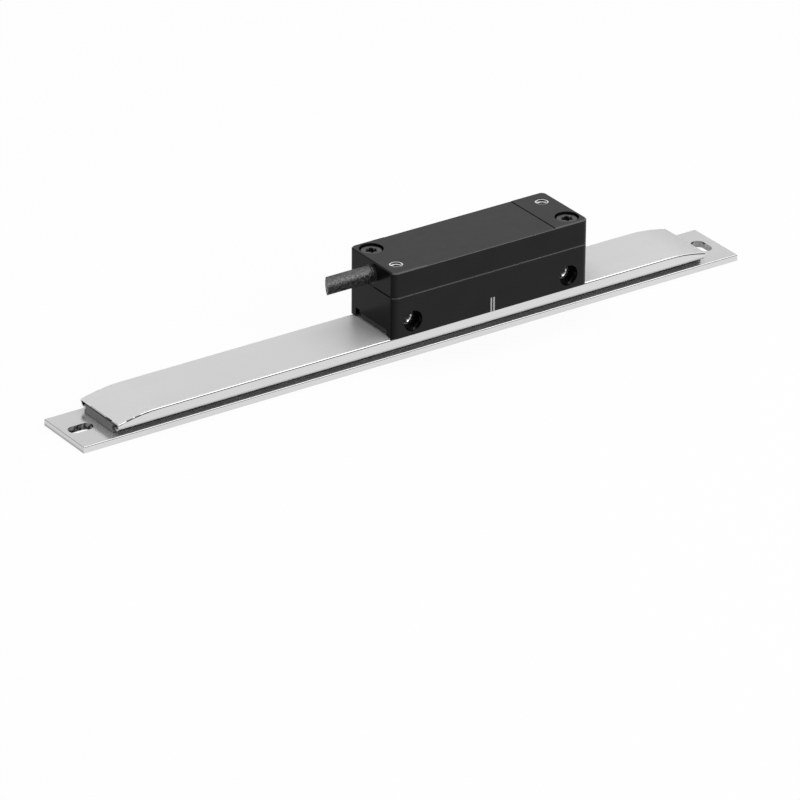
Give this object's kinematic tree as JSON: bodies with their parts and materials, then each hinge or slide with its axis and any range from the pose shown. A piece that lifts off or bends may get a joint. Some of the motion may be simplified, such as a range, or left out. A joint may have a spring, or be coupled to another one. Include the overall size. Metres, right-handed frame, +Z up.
{
  "type": "magnetic linear encoder",
  "caption": "Linear position encoder: a sealed readhead with a cable stub slides above a magnetic scale held under a steel cover strip on a slotted base plate.",
  "frame": {"origin": "middle of the base plate's underside", "axes": "+X along the scale, away from the cable end of the readhead; -Y is the front, with the readhead's side holes; +Z up, from the base plate to the readhead's top"},
  "size_m": [0.1896, 0.019, 0.0236],
  "materials": {
    "base_plate": "bright rolled stainless steel, ground edges",
    "carrier_bond": "double-sided bonding film",
    "scale_carrier": "dark anodised extrusion",
    "scale_tape": "adhesive tape",
    "scale_backing": "cold-rolled spring steel band",
    "magnetic_scale": "magnetised elastomer, matt",
    "cover_strip": "thin stainless strip, satin",
    "lower_housing": "die cast, fine dark satin coating",
    "upper_housing": "die cast, fine dark satin coating",
    "housing_seal": "soft elastomer, matt",
    "housing_screws": "dark burnished steel",
    "top_thread_inserts": "bright stainless steel",
    "side_thread_inserts": "bright stainless steel",
    "sensor_window": "dark filled plastic plate",
    "window_bond": "cured adhesive",
    "circuit_board": "green solder mask on glass laminate",
    "board_screws": "zinc plated",
    "absolute_sensor": "moulded package",
    "incremental_sensor": "moulded package",
    "processor_chip": "moulded package, tinned leads",
    "line_driver_chip": "moulded package, tinned leads",
    "voltage_regulator": "moulded package, tinned leads",
    "clock_crystal": "plated metal can",
    "ceramic_capacitors": "fired ceramic, tinned ends",
    "tantalum_capacitors": "moulded epoxy case",
    "board_header": "moulded nylon",
    "header_pins": "gold-flashed square pins",
    "cable_plug": "moulded nylon",
    "cable_jacket": "extruded polyurethane, satin",
    "cable_shield": "tinned copper braid",
    "cable_cores": "coloured core insulation",
    "cable_ferrule": "crimped brass sleeve",
    "cable_grommet": "soft elastomer, matt"
  },
  "bodies": {
    "track": {"base_plate": "base_plate", "carrier_bond": "carrier_bond", "scale_carrier": "scale_carrier", "scale_tape": "scale_tape", "scale_backing": "scale_backing", "magnetic_scale": "magnetic_scale", "cover_strip": "cover_strip"},
    "readhead": {"lower_housing": "lower_housing", "upper_housing": "upper_housing", "housing_seal": "housing_seal", "housing_screws": "housing_screws", "top_thread_inserts": "top_thread_inserts", "side_thread_inserts": "side_thread_inserts", "sensor_window": "sensor_window", "window_bond": "window_bond", "circuit_board": "circuit_board", "board_screws": "board_screws", "absolute_sensor": "absolute_sensor", "incremental_sensor": "incremental_sensor", "processor_chip": "processor_chip", "line_driver_chip": "line_driver_chip", "voltage_regulator": "voltage_regulator", "clock_crystal": "clock_crystal", "ceramic_capacitors": "ceramic_capacitors", "tantalum_capacitors": "tantalum_capacitors", "board_header": "board_header", "header_pins": "header_pins", "cable_plug": "cable_plug", "cable_jacket": "cable_jacket", "cable_shield": "cable_shield", "cable_cores": "cable_cores", "cable_ferrule": "cable_ferrule", "cable_grommet": "cable_grommet"}
  },
  "joints": [
    {"name": "readhead_slide", "type": "slide", "parent": "track", "child": "readhead", "axis": [1, 0, 0], "range_m": [-0.0765, 0.0365]}
  ]
}
